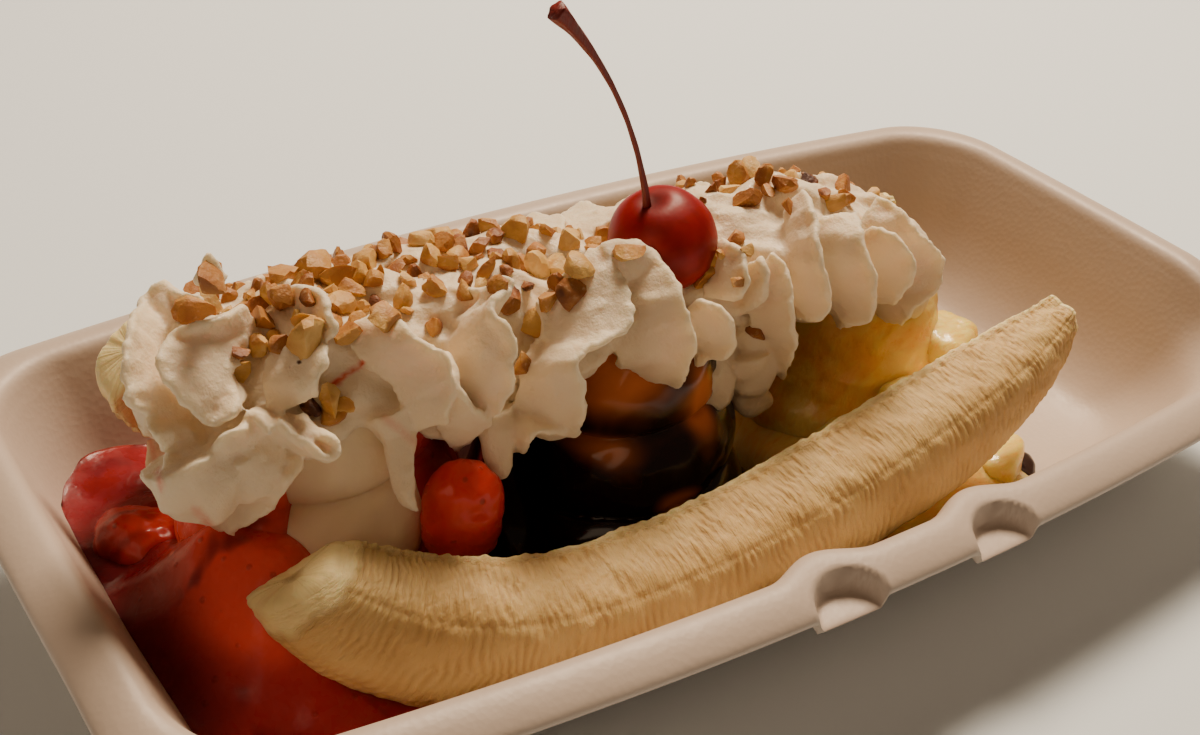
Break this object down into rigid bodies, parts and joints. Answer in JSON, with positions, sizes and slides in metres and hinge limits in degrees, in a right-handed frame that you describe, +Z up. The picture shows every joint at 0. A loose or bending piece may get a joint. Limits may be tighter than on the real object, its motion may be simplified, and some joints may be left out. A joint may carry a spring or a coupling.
{
  "type": "banana split in a foam tray",
  "caption": "Banana split in a white foam tray: banana halves, soft-serve mounds, fruit sauces, chocolate syrup, whipped cream, chopped nuts and a cherry.",
  "frame": {"origin": "middle of the tray's footprint, at the height of its underside", "axes": "+X along the tray's length towards the pineapple end, +Y across the tray away from the side with the latch recesses, +Z up"},
  "size_m": [0.2418, 0.127, 0.1082],
  "materials": {
    "white_foam": "satin expanded foam",
    "banana_flesh": "moist peeled banana flesh",
    "vanilla_soft_serve": "smooth soft ice cream",
    "strawberry_sauce": "wet glossy sauce",
    "strawberry_piece": "wet fruit",
    "chocolate_syrup": "glossy syrup",
    "pineapple_sauce": "wet glossy sauce",
    "pineapple_piece": "wet fruit",
    "whipped_cream": "soft whipped cream",
    "cherry_skin": "glossy candied skin",
    "cherry_stem": "stained stem"
  },
  "bodies": {
    "root": {"tray": "white_foam", "banana_near": "banana_flesh", "banana_far": "banana_flesh", "ice_cream_left": "vanilla_soft_serve", "ice_cream_middle": "vanilla_soft_serve", "ice_cream_right": "vanilla_soft_serve", "strawberry_sauce": "strawberry_sauce", "chocolate_sauce": "chocolate_syrup", "pineapple_sauce": "pineapple_sauce", "strawberry_piece_1": "strawberry_piece", "strawberry_piece_2": "strawberry_piece", "strawberry_piece_3": "strawberry_piece", "strawberry_piece_4": "strawberry_piece", "pineapple_piece_1": "pineapple_piece", "pineapple_piece_2": "pineapple_piece", "pineapple_piece_3": "pineapple_piece", "pineapple_piece_4": "pineapple_piece", "pineapple_piece_5": "pineapple_piece", "pineapple_piece_6": "pineapple_piece", "whipped_cream": "whipped_cream", "cherry": "cherry_skin", "cherry_stem": "cherry_stem"}
  },
  "joints": []
}
